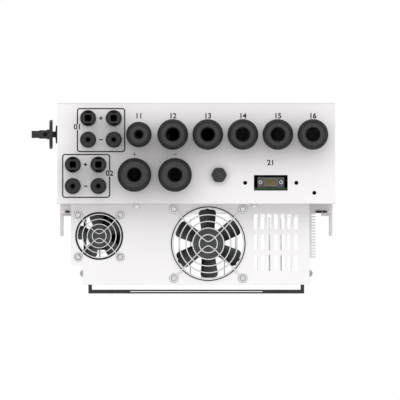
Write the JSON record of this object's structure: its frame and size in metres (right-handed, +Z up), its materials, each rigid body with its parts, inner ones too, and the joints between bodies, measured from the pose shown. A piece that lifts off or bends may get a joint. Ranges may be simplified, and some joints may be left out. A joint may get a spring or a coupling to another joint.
{
  "type": "hybrid string inverter",
  "caption": "Wall-hung solar inverter: white cabinet with wiring box, cable glands and PV sockets below, fan-cooled heatsink duct behind, rotary DC switch at the side.",
  "frame": {"origin": "middle of the wall bracket's back face, in the wall plane", "axes": "+Z up, +Y into the wall, covers face -Y, DC switch on the -X side"},
  "size_m": [0.4622, 0.2937, 0.7406],
  "materials": {
    "aluminium": "extruded or stamped, bare",
    "black_plastic": "black moulded plastic",
    "board_green": "green circuit board",
    "dark_plastic": "dark grey moulded plastic",
    "grey_steel": "dark grey powder coat",
    "lens": "dark smoked window",
    "seal_rubber": "black foam rubber",
    "white_paint": "white powder coat, satin",
    "wire_steel": "bright plated steel wire and screws"
  },
  "bodies": {
    "housing": {"ac_gland_1_body": "dark_plastic", "ac_gland_1_nut": "dark_plastic", "ac_gland_2_body": "dark_plastic", "ac_gland_2_nut": "dark_plastic", "ac_gland_3_body": "dark_plastic", "ac_gland_3_nut": "dark_plastic", "ac_gland_4_body": "dark_plastic", "ac_gland_4_nut": "dark_plastic", "ac_gland_5_body": "dark_plastic", "ac_gland_5_nut": "dark_plastic", "ac_terminal_block": "dark_plastic", "battery_gland_minus_body": "dark_plastic", "battery_gland_minus_nut": "dark_plastic", "battery_gland_plus_body": "dark_plastic", "battery_gland_plus_nut": "dark_plastic", "battery_terminal_block": "dark_plastic", "cabinet": "white_paint", "capacitor_bank": "black_plastic", "choke_block": "black_plastic", "comm_board": "board_green", "comm_port": "aluminium", "cover_seal": "seal_rubber", "data_gland_body": "dark_plastic", "data_gland_nut": "dark_plastic", "dc_switch_base": "dark_plastic", "dc_switch_body": "black_plastic", "display_lens": "lens", "display_module": "black_plastic", "duct_plate": "white_paint", "front_cover": "white_paint", "gland_plate": "white_paint", "heatsink": "aluminium", "heatsink_shroud": "white_paint", "large_fan_frame": "black_plastic", "large_fan_guard": "wire_steel", "lock_screw_left": "wire_steel", "lock_screw_right": "wire_steel", "power_board": "board_green", "pv_1_minus_a": "dark_plastic", "pv_1_minus_b": "dark_plastic", "pv_1_plus_a": "dark_plastic", "pv_1_plus_b": "dark_plastic", "pv_2_minus_a": "dark_plastic", "pv_2_minus_b": "dark_plastic", "pv_2_plus_a": "dark_plastic", "pv_2_plus_b": "dark_plastic", "side_handle_left": "white_paint", "side_handle_right": "white_paint", "small_fan_frame": "black_plastic", "small_fan_guard": "wire_steel", "vent_plug": "dark_plastic", "wall_bracket": "grey_steel", "wiring_cover": "white_paint"},
    "dc_switch_knob": {"dc_switch_knob": "dark_plastic"},
    "key_down": {"key_down": "dark_plastic"},
    "key_enter": {"key_enter": "dark_plastic"},
    "key_escape": {"key_escape": "dark_plastic"},
    "key_up": {"key_up": "dark_plastic"},
    "large_fan_rotor": {"large_fan_rotor": "black_plastic"},
    "small_fan_rotor": {"small_fan_rotor": "black_plastic"}
  },
  "joints": [
    {"name": "large_fan_spin", "type": "hinge", "parent": "housing", "child": "large_fan_rotor", "pos_m": [0.0184, -0.0787, -0.4997], "axis": [0, 0, 1], "continuous": true},
    {"name": "small_fan_spin", "type": "hinge", "parent": "housing", "child": "small_fan_rotor", "pos_m": [-0.1477, -0.0904, -0.4997], "axis": [0, 0, 1], "continuous": true},
    {"name": "dc_switch_turn", "type": "hinge", "parent": "housing", "child": "dc_switch_knob", "pos_m": [-0.21107, -0.2452, -0.457], "axis": [-1, 0, 0], "range_deg": [0, 90]},
    {"name": "key_escape_press", "type": "slide", "parent": "housing", "child": "key_escape", "axis": [0, 1, 0], "range_m": [0, 0.001], "stiffness_N_per_m": 400},
    {"name": "key_up_press", "type": "slide", "parent": "housing", "child": "key_up", "axis": [0, 1, 0], "range_m": [0, 0.001], "stiffness_N_per_m": 400},
    {"name": "key_down_press", "type": "slide", "parent": "housing", "child": "key_down", "axis": [0, 1, 0], "range_m": [0, 0.001], "stiffness_N_per_m": 400},
    {"name": "key_enter_press", "type": "slide", "parent": "housing", "child": "key_enter", "axis": [0, 1, 0], "range_m": [0, 0.001], "stiffness_N_per_m": 400}
  ]
}
